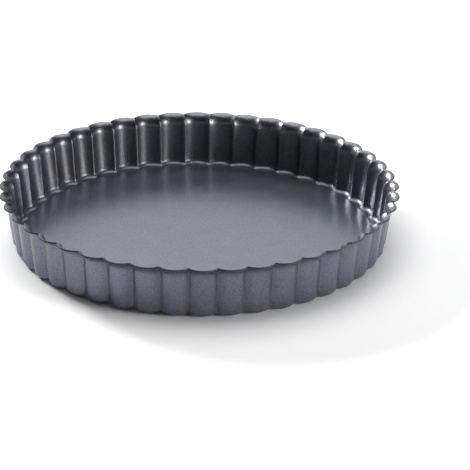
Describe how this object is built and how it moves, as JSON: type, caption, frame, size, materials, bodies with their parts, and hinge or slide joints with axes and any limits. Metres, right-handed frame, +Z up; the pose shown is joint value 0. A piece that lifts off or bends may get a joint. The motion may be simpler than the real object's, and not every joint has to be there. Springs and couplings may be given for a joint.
{
  "type": "fluted tart tin",
  "caption": "Round fluted tart tin in dark coated steel: a fluted ring with a flared rim and an inner ledge, and a flat loose base that lifts out to free the tart.",
  "frame": {"origin": "on the tin's axis, on the surface that the ledge's underside stands on", "axes": "+Z up along the tin's axis, +X through the top of a flute"},
  "size_m": [0.25, 0.25, 0.0345],
  "materials": {
    "wall_coating": "satin non-stick coating on steel sheet",
    "floor_coating": "satin non-stick coating on steel sheet"
  },
  "bodies": {
    "ring": {"fluted_ring": "wall_coating"},
    "base": {"loose_base": "floor_coating"}
  },
  "joints": [
    {"name": "base_lift", "type": "slide", "parent": "ring", "child": "base", "axis": [0, 0, 1], "range_m": [0, 0.06]}
  ]
}
